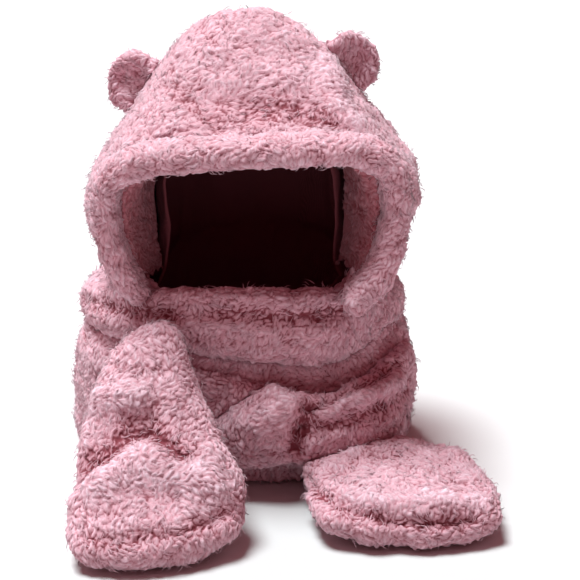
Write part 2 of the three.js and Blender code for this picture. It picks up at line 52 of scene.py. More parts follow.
def unit(vectors):
    return vectors / np.maximum(np.linalg.norm(vectors, axis=1), 1e-12)[:, None]


# A smooth random field with a spread of 1: plane waves with lengths between shortest and longest.
def field(points, seed, shortest, longest, count=16):
    draw = np.random.default_rng(seed)
    heading = unit(draw.normal(size=(count, 3)))
    length = draw.uniform(shortest, longest, count)
    phase = draw.uniform(0, 2 * math.pi, count)
    waves = points @ (heading * (2 * math.pi / length)[:, None]).T + phase
    return np.sin(waves).sum(1) / math.sqrt(count / 2)


def vectorField(points, seed, shortest, longest):
    return np.stack([field(points, seed + k, shortest, longest) for k in range(3)], axis=1)


# How far each point is from a line through the given places, in metres.
def lineDistance(points, places):
    stops = np.array(places, float) * mm
    best = np.full(len(points), 1e9)
    for a, b in zip(stops[:-1], stops[1:]):
        way = b - a
        t = np.clip((points - a) @ way / (way @ way), 0, 1)
        best = np.minimum(best, np.linalg.norm(points - a - t[:, None] * way, axis=1))
    return best


def readMesh(mesh):
    points = np.zeros(len(mesh.vertices) * 3, np.float32)
    normals = np.zeros(len(mesh.vertices) * 3, np.float32)
    mesh.vertices.foreach_get("co", points)
    mesh.vertices.foreach_get("normal", normals)
    return points.reshape(-1, 3).astype(float), normals.reshape(-1, 3).astype(float)


def readTriangles(mesh):
    mesh.calc_loop_triangles()
    triangles = np.zeros(len(mesh.loop_triangles) * 3, np.int32)
    mesh.loop_triangles.foreach_get("vertices", triangles)
    return triangles.reshape(-1, 3)


def writePoints(mesh, points):
    mesh.vertices.foreach_set("co", points.astype(np.float32).ravel())
    mesh.update()


def writeLayer(mesh, name, values):
    layer = mesh.attributes.new(name, "FLOAT", "POINT")
    layer.data.foreach_set("value", values.astype(np.float32))


def takeLayer(mesh, name):
    values = np.zeros(len(mesh.vertices), np.float32)
    mesh.attributes[name].data.foreach_get("value", values)
    mesh.attributes.remove(mesh.attributes[name])
    return values.astype(float)


# One mesh from points and polygons, where sizes tells how many corners each polygon has.
def buildMesh(name, points, corners, sizes):
    mesh = bpy.data.meshes.new(name)
    mesh.vertices.add(len(points))
    mesh.vertices.foreach_set("co", points.astype(np.float32).ravel())
    mesh.loops.add(len(corners))
    mesh.loops.foreach_set("vertex_index", corners.astype(np.int32))
    mesh.polygons.add(len(sizes))
    starts = np.concatenate([[0], np.cumsum(sizes)[:-1]])
    mesh.polygons.foreach_set("loop_start", starts.astype(np.int32))
    mesh.polygons.foreach_set("loop_total", sizes.astype(np.int32))
    mesh.polygons.foreach_set("use_smooth", np.ones(len(sizes), bool))
    mesh.update(calc_edges=True)
    mesh.validate()
    return mesh


def link(obj):
    scene.collection.objects.link(obj)
    return obj


# The mesh of an object with its modifiers applied, and the object left with none.
def settle(obj):
    bpy.context.view_layer.update()
    evaluated = obj.evaluated_get(bpy.context.evaluated_depsgraph_get())
    mesh = bpy.data.meshes.new_from_object(evaluated)
    obj.modifiers.clear()
    obj.data = mesh
    return obj


# Shader groups

def makeGroup(name, inputs, outputs):
    tree = bpy.data.node_groups.new(name, "ShaderNodeTree")
    for label, kind, value in inputs:
        socket = tree.interface.new_socket(label, in_out="INPUT", socket_type=kind)
        socket.default_value = value
    for label, kind in outputs:
        tree.interface.new_socket(label, in_out="OUTPUT", socket_type=kind)
    return tree, tree.nodes.new("NodeGroupInput"), tree.nodes.new("NodeGroupOutput")


def addMath(tree, operation, *values):
    node = tree.nodes.new("ShaderNodeMath")
    node.operation = operation
    for slotNumber, value in enumerate(values):
        if hasattr(value, "links"):
            tree.links.new(value, node.inputs[slotNumber])
        else:
            node.inputs[slotNumber].default_value = value
    return node.outputs[0]


def addMix(tree, share, first, second, blend="MIX"):
    node = tree.nodes.new("ShaderNodeMix")
    node.data_type = "RGBA"
    node.blend_type = blend
    for socket, value in ((node.inputs[0], share), (node.inputs[6], first), (node.inputs[7], second)):
        if hasattr(value, "links"):
            tree.links.new(value, socket)
        else:
            socket.default_value = value
    return node.outputs[2]


def addNoise(tree, vector, scale, detail=2.0, dimensions="3D"):
    node = tree.nodes.new("ShaderNodeTexNoise")
    node.noise_dimensions = dimensions
    node.inputs["Scale"].default_value = scale
    node.inputs["Detail"].default_value = detail
    tree.links.new(vector, node.inputs["Vector"])
    return node.outputs["Fac"]


# Where the painted shade inside the face opening starts and stops to darken, along y in metres.
openingShadeStart = -0.045
openingShadeEnd = 0.01


# Colour of the pile: dark at the root, light at the tip, each clump a little different. The dark root colour
# is painted shade in the crevices between clumps, and the pale tip is partly the pile's own lighter tips and
# partly painted highlight. The fibre height adds painted shade between the fibres and painted light on them.
# Where the share for the face opening is under 1, it darkens to that share towards the back of the face
# opening: painted shade inside the hood.
def pileColourGroup():
    tree, entry, leave = makeGroup(
        "pileColour",
        [
            ("Along", "NodeSocketFloat", 0.5),
            ("Tint", "NodeSocketFloat", 0.5),
            ("Root", "NodeSocketColor", (0.1, 0.03, 0.04, 1)),
            ("Body", "NodeSocketColor", (0.5, 0.24, 0.3, 1)),
            ("Tip", "NodeSocketColor", (0.75, 0.5, 0.57, 1)),
            ("Spread", "NodeSocketFloat", 0.25),
            ("Fade", "NodeSocketFloat", 1.0),
            ("Fibreheight", "NodeSocketFloat", 0.5),
            ("Streaks", "NodeSocketFloat", 0.4),
        ],
        [("Colour", "NodeSocketColor")],
    )
    place = tree.nodes.new("ShaderNodeTexCoord").outputs["Object"]
    rootward = tree.nodes.new("ShaderNodeMapRange")
    rootward.interpolation_type = "SMOOTHSTEP"
    rootward.inputs["From Max"].default_value = 0.5
    tree.links.new(entry.outputs["Along"], rootward.inputs["Value"])
    tipward = addMath(tree, "POWER", entry.outputs["Along"], 2.4)
    colour = addMix(tree, rootward.outputs[0], entry.outputs["Root"], entry.outputs["Body"])
    colour = addMix(tree, tipward, colour, entry.outputs["Tip"])
    patches = addNoise(tree, place, 22.0)
    offTint = addMath(tree, "SUBTRACT", entry.outputs["Tint"], 0.5)
    lift = addMath(tree, "MULTIPLY", offTint, entry.outputs["Spread"])
    patchLift = addMath(tree, "MULTIPLY", addMath(tree, "SUBTRACT", patches, 0.5), 0.35)
    # The fibre height lightens the colour on the fibres and darkens it between them: painted light and
    # painted shade.
    fibreLevel = addMath(tree, "SUBTRACT", entry.outputs["Fibreheight"], 0.57)
    fibreShadeLift = addMath(tree, "MULTIPLY", fibreLevel, entry.outputs["Streaks"])
    value = addMath(tree, "ADD", addMath(tree, "ADD", lift, patchLift), fibreShadeLift)
    value = addMath(tree, "ADD", value, 1.0)
    split = tree.nodes.new("ShaderNodeSeparateXYZ")
    tree.links.new(place, split.inputs[0])
    # Painted shade inside the face opening: the colour darkens towards the back.
    inward = tree.nodes.new("ShaderNodeMapRange")
    inward.interpolation_type = "SMOOTHSTEP"
    inward.inputs["From Min"].default_value = openingShadeStart
    inward.inputs["From Max"].default_value = openingShadeEnd
    inward.inputs["To Min"].default_value = 1.0
    tree.links.new(split.outputs[1], inward.inputs["Value"])
    tree.links.new(entry.outputs["Fade"], inward.inputs["To Max"])
    value = addMath(tree, "MULTIPLY", value, inward.outputs[0])
    shade = tree.nodes.new("ShaderNodeHueSaturation")
    tree.links.new(value, shade.inputs["Value"])
    tree.links.new(colour, shade.inputs["Color"])
    tree.links.new(shade.outputs[0], leave.inputs["Colour"])
    return tree


# Height of the fine fibres that run along each lock, from the lock's own map.
def fibreGroup():
    tree, entry, leave = makeGroup(
        "fibre",
        [("Fibres", "NodeSocketFloat", 1.1), ("Fuzz", "NodeSocketFloat", 900.0)],
        [("Height", "NodeSocketFloat")],
    )
    lockMap = tree.nodes.new("ShaderNodeUVMap")
    lockMap.uv_map = "lockMap"
    stretch = tree.nodes.new("ShaderNodeCombineXYZ")
    tree.links.new(entry.outputs["Fibres"], stretch.inputs[0])
    stretch.inputs[1].default_value = 0.22
    scaled = tree.nodes.new("ShaderNodeVectorMath")
    scaled.operation = "MULTIPLY"
    tree.links.new(lockMap.outputs[0], scaled.inputs[0])
    tree.links.new(stretch.outputs[0], scaled.inputs[1])
    along = addNoise(tree, scaled.outputs[0], 1.0, 3.0, "2D")
    place = tree.nodes.new("ShaderNodeTexCoord").outputs["Object"]
    fuzz = tree.nodes.new("ShaderNodeTexNoise")
    fuzz.inputs["Detail"].default_value = 2.0
    tree.links.new(place, fuzz.inputs["Vector"])
    tree.links.new(entry.outputs["Fuzz"], fuzz.inputs["Scale"])
    lines = addMath(tree, "MULTIPLY", along, 0.75)
    grain = addMath(tree, "MULTIPLY", fuzz.outputs["Fac"], 0.4)
    tree.links.new(addMath(tree, "ADD", lines, grain), leave.inputs["Height"])
    return tree


# Plain weave: threads that cross, as a height and as a mask of the gaps between them.
def weaveGroup():
    tree, entry, leave = makeGroup(
        "weave",
        [("Threads", "NodeSocketFloat", 900.0)],
        [("Height", "NodeSocketFloat"), ("Gap", "NodeSocketFloat")],
    )
    place = tree.nodes.new("ShaderNodeTexCoord").outputs["Object"]
    split = tree.nodes.new("ShaderNodeSeparateXYZ")
    tree.links.new(place, split.inputs[0])

    def threads(place):
        turns = addMath(tree, "MULTIPLY", place, entry.outputs["Threads"])
        return addMath(tree, "ABSOLUTE", addMath(tree, "SINE", turns))

    warp = threads(addMath(tree, "ADD", split.outputs[0], split.outputs[1]))
    weft = threads(split.outputs[2])
    height = addMath(tree, "MAXIMUM", warp, weft)
    gap = addMath(tree, "SUBTRACT", 1.0, height)
    tree.links.new(height, leave.inputs["Height"])
    tree.links.new(gap, leave.inputs["Gap"])
    return tree


groups = {"pileColour": pileColourGroup(), "fibre": fibreGroup(), "weave": weaveGroup()}


def placeGroup(material, name, values):
    node = material.node_tree.nodes.new("ShaderNodeGroup")
    node.node_tree = groups[name]
    for label, value in values.items():
        node.inputs[label].default_value = value
    return node


def addBump(material, height, strength, distance):
    tree = material.node_tree
    bump = tree.nodes.new("ShaderNodeBump")
    bump.inputs["Strength"].default_value = strength
    bump.inputs["Distance"].default_value = distance
    tree.links.new(height, bump.inputs["Height"])
    return bump.outputs[0]


def sherpaMaterial(name, look):
    material = bpy.data.materials.new(name)
    material.use_nodes = True
    tree = material.node_tree
    surface = tree.nodes["Principled BSDF"]
    colour = placeGroup(
        material,
        "pileColour",
        {name.capitalize(): look[name] for name in ("root", "body", "tip", "spread", "fade", "streaks")},
    )
    for socket in ("along", "tint"):
        attribute = tree.nodes.new("ShaderNodeAttribute")
        attribute.attribute_name = socket
        tree.links.new(attribute.outputs["Fac"], colour.inputs[socket.capitalize()])
    tree.links.new(colour.outputs["Colour"], surface.inputs["Base Color"])
    fibre = placeGroup(material, "fibre", {"Fibres": look["fibres"]})
    tree.links.new(fibre.outputs["Height"], colour.inputs["Fibreheight"])
    bump = addBump(material, fibre.outputs["Height"], look["bump"], look["bumpDepth"] * mm)
    tree.links.new(bump, surface.inputs["Normal"])
    surface.inputs["Roughness"].default_value = look["roughness"]
    surface.inputs["Specular IOR Level"].default_value = look["specular"]
    surface.inputs["Sheen Weight"].default_value = look["sheen"]
    surface.inputs["Sheen Roughness"].default_value = look["sheenRoughness"]
    surface.inputs["Sheen Tint"].default_value = look["sheenTint"]
    return material


sherpaLook = {
    "root": (0.21, 0.045, 0.06, 1),
    "body": (0.54, 0.265, 0.315, 1),
    "tip": (0.72, 0.53, 0.605, 1),
    "spread": 0.12,
    "streaks": 0.65,
    "fibres": 0.9,
    "bump": 0.8,
    "bumpDepth": 0.6,
    "roughness": 0.92,
    "specular": 0.15,
    "sheen": 0.25,
    "sheenRoughness": 0.4,
    "sheenTint": (1.0, 0.97, 1.0, 1),
    "fade": 1.0,
}
# The facing inside the face opening: the same sherpa with redder, darker colours and darkening towards the
# back, all painted shade inside the hood, and little sheen.
shadedFacingLook = {
    **sherpaLook,
    "root": (0.4, 0.08, 0.1, 1),
    "body": (0.62, 0.2, 0.24, 1),
    "tip": (0.78, 0.4, 0.46, 1),
    "sheen": 0.05,
    "fade": 0.34,
}
sherpaCloth = sherpaMaterial("sherpaCloth", sherpaLook)
shadedFacingCloth = sherpaMaterial("shadedFacingCloth", shadedFacingLook)
print("materials made")


# Wisps of pile: soft strands with three sides that rise from the cloth and bend over. along is the share
# of the length, rise and run where the middle is, wide the share of the width.
wispStations = [
    {"along": 0.0, "rise": -0.6, "run": -0.1, "wide": 0.9},
    {"along": 0.6, "rise": 0.9, "run": 0.4, "wide": 0.9},
    {"along": 1.0, "rise": 1.0, "run": 1.0, "wide": 0.0},
]
wispSides = 3


def wispMesh(roots, normals, flow, size, draw):
    count = len(roots)
    side = np.cross(normals, flow)
    length, height, width = (
        size[name] * mm * draw.uniform(0.7, 1.35, count)[:, None] for name in ("length", "height", "width")
    )
    curl = draw.uniform(-0.6, 0.6, count)[:, None]
    rings = []
    alongs = []
    for station in wispStations:
        run = station["run"]
        middle = roots + normals * height * station["rise"] + flow * length * run
        middle = middle + side * length * curl * run**2
        across = unit(side - flow * curl * 1.6 * run)
        face = unit(normals * (1.1 - station["along"]) - flow * (0.9 - 0.5 * station["along"]))
        corners = wispSides if station["wide"] else 1
        for k in range(corners):
            turn = 2 * math.pi * k / wispSides
            out = across * math.cos(turn) + face * math.sin(turn)
            rings.append(middle + out * width * station["wide"])
            alongs.append(station["along"])
    points = np.stack(rings, axis=1)
    perWisp = points.shape[1]
    faces = []
    maps = []
    for level in range(len(wispStations) - 1):
        low, high = 6 * wispStations[level]["along"], 6 * wispStations[level + 1]["along"]
        for k in range(wispSides):
            here, after = wispSides * level + k, wispSides * level + (k + 1) % wispSides
            if level < len(wispStations) - 2:
                faces.append([here, after, after + wispSides, here + wispSides])
                maps += [(k, low), (k + 1, low), (k + 1, high), (k, high)]
            else:
                faces.append([here, after, perWisp - 1])
                maps += [(k, low), (k + 1, low), (k + 0.5, high)]
    start = np.arange(count)[:, None] * perWisp
    corners = start + np.concatenate([np.array(face) for face in faces])[None, :]
    sizes = np.tile([len(face) for face in faces], count)
    shift = draw.uniform(0, 500, (count, 1, 2))
    return {
        "points": points.reshape(-1, 3),
        "normals": np.repeat(normals, perWisp, axis=0),
        "corners": corners.ravel(),
        "sizes": sizes,
        "map": (np.array(maps, float)[None] + shift).reshape(-1, 2),
        # The wisps' colour runs from the body towards the pale tip, which is partly painted highlight.
        "along": np.tile(0.5 + 0.35 * np.array(alongs), count),
        "tint": np.repeat(draw.uniform(0, 1, count), perWisp),
    }


# Places spread over a surface, none nearer to another than the spacing.
def darts(points, triangles, normals, spacing, draw):
    a, b, c = (points[triangles[:, k]] for k in range(3))
    area = np.linalg.norm(np.cross(b - a, c - a), axis=1) / 2
    wanted = int(area.sum() / spacing**2 * 2.4)
    chosen = draw.choice(len(area), wanted, p=area / area.sum())
    u, v = draw.random((2, wanted, 1))
    flip = u + v > 1
    u, v = np.where(flip, 1 - u, u), np.where(flip, 1 - v, v)
    places = a[chosen] + u * (b - a)[chosen] + v * (c - a)[chosen]
    na, nb, nc = (normals[triangles[chosen, k]] for k in range(3))
    facing = unit(na + u * (nb - na) + v * (nc - na))
    cells = {}
    kept = []
    keys = np.floor(places / spacing).astype(int)
    reach = [(i, j, k) for i in (-1, 0, 1) for j in (-1, 0, 1) for k in (-1, 0, 1)]
    least = spacing**2 * 0.72
    for n in range(wanted):
        x, y, z = places[n]
        kx, ky, kz = keys[n]
        free = True
        for i, j, k in reach:
            for ox, oy, oz in cells.get((kx + i, ky + j, kz + k), ()):
                if (ox - x) ** 2 + (oy - y) ** 2 + (oz - z) ** 2 < least:
                    free = False
                    break
            if not free:
                break
        if free:
            cells.setdefault((kx, ky, kz), []).append((x, y, z))
            kept.append(n)
    return places[kept], facing[kept]


# How free each place is: 0 where a tree has something right ahead of it, 1 where it has nothing within
# the distance.
def freeAhead(places, normals, tree, start, distance):
    hits = (tree.ray_cast(Vector(p + n * start), Vector(n), distance)[3] for p, n in zip(places, normals))
    return np.array([1.0 if hit is None else hit / distance for hit in hits])


# One tree for ray casts from the meshes of several objects.
def meshTree(objects):
    points, triangles, start = [], [], 0
    for obj in objects:
        points.append(readMesh(obj.data)[0])
        triangles.append(readTriangles(obj.data) + start)
        start += len(points[-1])
    return BVHTree.FromPolygons(np.concatenate(points).tolist(), np.concatenate(triangles).tolist())


# Points drawn to their own solid's surface where it lies against another solid, so that seams stay shut.
def seated(points, moved, source, others):
    own = meshTree([source])
    for n, point in enumerate(points):
        place, normal, _, _ = own.find_nearest(Vector(point))
        gap = others.find_nearest(place)[3]
        share = min(max(1.5 - gap / (4 * mm), 0), 1)
        if share > 0:
            moved[n] = moved[n] * (1 - share) + np.array(place - normal * (0.1 * mm)) * share
    return moved


# The padded form of a piece: its solid remeshed and softened, drawn in to make room for the pile, and
# given its folds on the outer side. A fold has its places, its height (down if negative) and its width in
# millimetres.
def padForm(node, look):
    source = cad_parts[node]
    pad = link(bpy.data.objects.new(node + "_sherpa", source.data.copy()))
    remesh = pad.modifiers.new("remesh", "REMESH")
    remesh.mode = "VOXEL"
    remesh.voxel_size = look["voxel"] * mm
    soften = pad.modifiers.new("soften", "SMOOTH")
    soften.factor = 0.6
    soften.iterations = look["soften"]
    settle(pad)
    points, normals = readMesh(pad.data)
    outer = np.clip((normals * unit(points - points.mean(0))).sum(1) * 3, 0, 1)
    folded = np.zeros(len(points))
    for fold in look["folds"]:
        near = lineDistance(points, fold["places"]) / (fold["width"] * mm)
        folded += fold["height"] * np.exp(-near * near) * outer
    move = folded - look["sink"] + 0.9 * field(points, seedNumbers["form"], 0.028, 0.05)
    others = meshTree([solid for name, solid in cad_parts.items() if name not in (node, "hood_lining")])
    points = seated(points, points + normals * (move * mm)[:, None], source, others)
    points[:, 2] = np.maximum(points[:, 2], groundGap)
    writePoints(pad.data, points)
    writeLayer(pad.data, "folded", folded)
    return pad


# Directions from which the outside is looked at, to tell the outer surfaces from the hidden ones.
outlooks = [
    (0, -0.95, 0.31), (0, -0.3, 1), (-1, 0, 0.25), (1, 0, 0.25), (0, 1, 0.25),
    (-0.7, -0.7, 0.25), (0.7, -0.7, 0.25), (-0.7, 0.7, 0.4), (0.7, 0.7, 0.4),
]


# How bare each place is: 1 where the pile can grow, 0 where it is hidden, against another or on the floor.
def bareness(points, normals, allTree, otherTree):
    seen = np.zeros(len(points), bool)
    for outlook in outlooks:
        way = np.array(outlook) / np.linalg.norm(outlook)
        for n in np.flatnonzero(~seen & (normals @ way > 0.12)):
            start = Vector(points[n] + normals[n] * 1.5 * mm)
            seen[n] = allTree.ray_cast(start, Vector(way), 0.7)[0] is None
    beside = freeAhead(points, normals, otherTree, -1.0 * mm, 5.5 * mm)
    raised = (points[:, 2] > 1.5 * mm) | (normals[:, 2] > -0.3)
    return seen * raised * np.clip(beside * 1.6 - 0.3, 0, 1)


# Bare faces are split in four, and those turned to the front once more, so that the clumps come out well.
def refineBare(mesh, bare):
    writeLayer(mesh, "bare", bare)
    work = bmesh.new()
    work.from_mesh(mesh)
    value = work.verts.layers.float["bare"]
    toCamera = Vector((0, -0.95, 0.31))
    for least in (-2, -0.15):
        work.normal_update()
        turned = [f for f in work.faces if f.normal.dot(toCamera) > least]
        openFaces = [f for f in turned if max(v[value] for v in f.verts) > 0.4]
        edges = {e for f in openFaces for e in f.edges}
        bmesh.ops.subdivide_edges(work, edges=list(edges), cuts=1, use_grid_fill=True)
        soft = [v for v in work.verts if v[value] > 0.2]
        for _ in range(3):
            bmesh.ops.smooth_vert(
                work, verts=soft, factor=0.5, use_axis_x=True, use_axis_y=True, use_axis_z=True
            )
    work.to_mesh(mesh)
    work.free()
    mesh.update()
    return takeLayer(mesh, "bare"), takeLayer(mesh, "folded")


# Directions in which the pile lies: they swirl slowly, and tend to fall.
def pileFlow(places, facing, fall, draw):
    wander = vectorField(places, seedNumbers["flow"], 0.035, 0.08) * 0.9
    wander = wander + draw.normal(size=places.shape) * 0.22
    drift = wander + np.array([0.0, 0.0, -fall])
    return unit(drift - facing * (drift * facing).sum(1)[:, None])


# Clumps of pile round their seeds. Gives each point its height, how far it is up its clump from the
# crevice, and the number of its clump. Each clump rises towards its tip and is split in strands.
def clumps(points, seeds, facing, flow, look, draw):
    tree = KDTree(len(seeds))
    for n, seed in enumerate(seeds):
        tree.insert(seed, n)
    tree.balance()
    near = np.array([[hit[1] for hit in tree.find_n(p, 6)] for p in points])
    side = np.cross(facing, flow)
    bent = points + vectorField(points, seedNumbers["ruffle"], 0.006, 0.014) * (look["ruffle"] * mm)
    away = bent[:, None, :] - seeds[near]
    along = (away * flow[near]).sum(2) / (look["clumpLength"] * mm)
    across = (away * side[near]).sum(2) / (look["clumpWidth"] * mm)
    above = (away * facing[near]).sum(2) / (2 * look["clumpWidth"] * mm)
    girth = draw.uniform(0.75, 1.3, len(seeds))
    distance = np.sqrt((along + 0.25) ** 2 + across**2 + above**2) / girth[near]
    order = np.argsort(distance, axis=1)
    rows = np.arange(len(points))
    first, second = order[:, 0], order[:, 1]
    ratio = distance[rows, first] / np.maximum(distance[rows, second], 1e-9)
    dome = 1 - ratio ** look["crevice"]
    own = near[rows, first]
    lift = draw.uniform(0.45, 1.3, len(seeds))[own]
    phase = draw.uniform(0, 2 * math.pi, len(seeds))[own]
    ownAlong, ownAcross = along[rows, first], across[rows, first]
    strand = 0.5 + 0.5 * np.cos(ownAcross * look["strands"] + 1.3 * ownAlong + phase)
    lean = 1 + 0.6 * np.clip(ownAlong, -1, 1)
    height = look["pile"] * dome * lift * lean * (0.75 + 0.35 * strand)
    return height, dome * (0.6 + 0.4 * strand), own


# The pile of a piece: its padded form raised in clumps, with wisps, in one mesh.
def growPile(pad, look, allTree, otherTree, seedNumber):
    draw = np.random.default_rng(seedNumber)
    mesh = pad.data
    points, normals = readMesh(mesh)
    seeds, facing = darts(points, readTriangles(mesh), normals, look["spacing"] * mm, draw)
    flow = pileFlow(seeds, facing, look["fall"], draw)
    bare, folded = refineBare(mesh, bareness(points, normals, allTree, otherTree))
    points, normals = readMesh(mesh)
    height, dome, own = clumps(points, seeds, facing, flow, look, draw)
    lumps = field(points, seedNumbers["lumps"], 0.012, 0.03)
    points = points + normals * ((height + look["lumps"] * lumps) * bare * mm)[:, None]
    points[:, 2] = np.maximum(points[:, 2], groundGap)
    openSeeds = bareness(seeds, facing, allTree, otherTree) > 0.5
    chosen = draw.random(len(seeds)) < look["wisps"]
    roots = np.repeat(np.flatnonzero(openSeeds & chosen), 2)
    shift = draw.normal(size=(len(roots), 3)) * 1.2 * mm
    start = seeds[roots] + shift + facing[roots] * (0.5 * look["pile"] * mm)
    wispFlow = unit(flow[roots] + draw.normal(size=(len(roots), 3)) * 0.35)
    wispFlow = unit(wispFlow - facing[roots] * (wispFlow * facing[roots]).sum(1)[:, None])
    wisps = wispMesh(start, facing[roots], wispFlow, look["wisp"], draw)
    wisps["points"][:, 2] = np.maximum(wisps["points"][:, 2], wispGroundGap)
    baseCorners = np.zeros(len(mesh.loops), np.int32)
    mesh.loops.foreach_get("vertex_index", baseCorners)
    baseSizes = np.zeros(len(mesh.polygons), np.int32)
    mesh.polygons.foreach_get("loop_total", baseSizes)
    firstCorner = np.repeat(baseCorners[np.concatenate([[0], np.cumsum(baseSizes)[:-1]])], baseSizes)
    faceClump = own[firstCorner]
    side = np.cross(facing, flow)
    away = points[baseCorners] - seeds[faceClump]
    clumpShift = draw.uniform(0, 500, (len(seeds), 2))[faceClump]
    baseMap = np.stack([(away * side[faceClump]).sum(1), (away * flow[faceClump]).sum(1)], axis=1) / mm
    merged = buildMesh(
        pad.name,
        np.concatenate([points, wisps["points"]]),
        np.concatenate([baseCorners, wisps["corners"] + len(points)]),
        np.concatenate([baseSizes, wisps["sizes"]]),
    )
    tint = draw.uniform(0, 1, len(seeds))[own]
    # Folds darken the colour in their grooves and lighten it a little on their ridges: painted shade and
    # painted light.
    foldShade = look["foldShade"] * np.clip(folded / 10, -1, 0.3)
    # The colour runs from root to tip with the height up each clump and its lumps, which puts painted shade
    # in the crevices; where the pile is hidden or against another piece it takes a middle value.
    along = 0.35 + (0.75 * dome + 0.05 * lumps - 0.2) * bare + foldShade
    for name, base in (("along", np.clip(along, 0, 1)), ("tint", tint)):
        writeLayer(merged, name, np.concatenate([base, wisps[name]]))
    _, shading = readMesh(merged)
    shading[len(points):] = unit(shading[len(points):] * 0.35 + wisps["normals"])
    merged.normals_split_custom_set_from_vertices(shading.tolist())
    uvs = merged.uv_layers.new(name="lockMap")
    lockMap = np.concatenate([baseMap + clumpShift, wisps["map"]])
    uvs.data.foreach_set("uv", lockMap.astype(np.float32).ravel())
    pad.data = merged
    pad.data.materials.append(look["cloth"])
    triangleCount = int((baseSizes - 2).sum() + (wisps["sizes"] - 2).sum())
    print(pad.name, len(seeds), "clumps", len(roots), "wisps", triangleCount, "triangles")
    return triangleCount


wisp = {"length": 6.0, "height": 1.5, "width": 0.36}
pile = {
    "voxel": 5.4, "soften": 6, "sink": 2.0, "spacing": 4.2, "fall": 0.5, "pile": 2.2,
    "clumpLength": 5.4, "clumpWidth": 2.0, "crevice": 2.6, "ruffle": 0.9, "strands": 3.8, "lumps": 0.4,
    "wisps": 0.42, "wisp": wisp, "foldShade": 0.5, "cloth": sherpaCloth, "folds": [],
}


hoodCrown = {
    **pile, "voxel": 6.6, "wisps": 0.26, "fall": 0.35,
    "folds": [
        {
            "height": -6, "width": 15,
            "places": [
                (-23, 2, 328), (-6, 5, 331), (11, 7, 332), (28, 2, 328),
                (45, -4, 321),
            ],
        },
        {
            "height": -3.8, "width": 12,
            "places": [
                (-88, 38, 344), (-74, 18, 337), (-61, 2, 328), (-52, -9, 320),
            ],
        },
        {
            "height": 4.5, "width": 14,
            "places": [
                (47, 75, 358), (50, 49, 346), (59, 30, 333), (67, 13, 321),
            ],
        },
    ],
}
hoodFacing = {**pile, "voxel": 4.0, "pile": 1.8, "wisps": 0.2, "cloth": shadedFacingCloth}
hoodBrim = {
    **pile, "voxel": 4.6, "soften": 4,
    "folds": [{"height": -5, "width": 6, "places": [(60, -52, 191), (78, -61, 201)]}],
}
ear = {**pile, "voxel": 4.0, "soften": 4, "fall": 0.1}
earLeft = {**ear, "folds": [{"height": -6, "width": 13, "places": [(-115, 17, 333), (-106, 17, 338)]}]}
earRight = {**ear, "folds": [{"height": -6, "width": 13, "places": [(92, 17, 351), (102, 17, 357)]}]}
neckWrap = {
    **pile,
    "folds": [
        {
            "height": -6.8, "width": 8,
            "places": [
                (-175, 44, 147), (-146, -5, 157), (-118, -27, 161), (-91, -39, 162),
            ],
        },
        {
            "height": -6, "width": 8,
            "places": [
                (-61, -47, 166), (-31, -50, 165), (-1, -50, 162), (28, -45, 161),
                (54, -34, 162),
            ],
        },
    ],
}
lowerWrap = {**pile}
tailOver = {
    **pile, "voxel": 5.0, "soften": 4,
    "folds": [
        {
            "height": -8.1, "width": 7,
            "places": [
                (107, -12, 106), (81, -40, 103), (58, -52, 99), (40, -65, 91),
                (31, -71, 83),
            ],
        },
        {
            "height": 6.3, "width": 8,
            "places": [
                (107, -20, 98), (81, -46, 92), (58, -57, 87), (38, -66, 82),
                (31, -71, 78),
            ],
        },
        {
            "height": -7.2, "width": 7,
            "places": [
                (117, -8, 78), (89, -51, 78), (63, -66, 76), (41, -72, 71),
                (24, -75, 65),
            ],
        },
        {
            "height": -12.6, "width": 7,
            "places": [
                (30, -66, 92), (28, -72, 83), (19, -76, 64), (16, -73, 45),
            ],
        },
        {"height": 5.4, "width": 9, "places": [(10, -71, 92), (-2, -74, 84), (-14, -75, 74)]},
    ],
}
tailUnder = {**pile, "voxel": 4.0, "soften": 4, "sink": 2.5}
pocketLeft = {
    **pile, "voxel": 5.0,
    "folds": [
        {
            "height": -14, "width": 12,
            "places": [
                (-164, -154, 61), (-153, -150, 73), (-139, -154, 79), (-131, -145, 86),
                (-119, -135, 94), (-104, -133, 97), (-93, -143, 91), (-77, -152, 82),
            ],
        },
        {
            "height": 7.5, "width": 17,
            "places": [
                (-146, -168, 65), (-126, -164, 74), (-106, -155, 81), (-82, -164, 71),
                (-57, -165, 62),
            ],
        },
        {
            "height": -4.7, "width": 8,
            "places": [
                (-151, -210, 33), (-120, -215, 32), (-80, -207, 34), (-50, -192, 38),
                (-35, -175, 42),
            ],
        },
        {"height": 5, "width": 13, "places": [(-146, -109, 110), (-131, -109, 117), (-113, -113, 113)]},
    ],
}
pocketRight = {
    **pile, "voxel": 5.0,
    "folds": [
        {
            "height": -7.5, "width": 7,
            "places": [
                (24, -90, 32), (31, -116, 35), (47, -151, 35), (68, -166, 33),
                (95, -175, 29), (133, -174, 28), (160, -167, 28),
            ],
        },
        {
            "height": 3.8, "width": 8,
            "places": [
                (61, -147, 42), (89, -161, 41), (116, -160, 42), (143, -153, 43),
                (172, -147, 37),
            ],
        },
        {"height": -3.8, "width": 10, "places": [(53, -103, 44), (79, -83, 49), (105, -79, 51)]},
    ],
}
looks = {
    "hood_crown": hoodCrown,
    "hood_facing": hoodFacing,
    "hood_brim": hoodBrim,
    "ear_left": earLeft,
    "ear_right": earRight,
    "neck_wrap": neckWrap,
    "lower_wrap": lowerWrap,
    "scarf_tail_over": tailOver,
    "scarf_tail_under": tailUnder,
    "pocket_left": pocketLeft,
    "pocket_right": pocketRight,
}

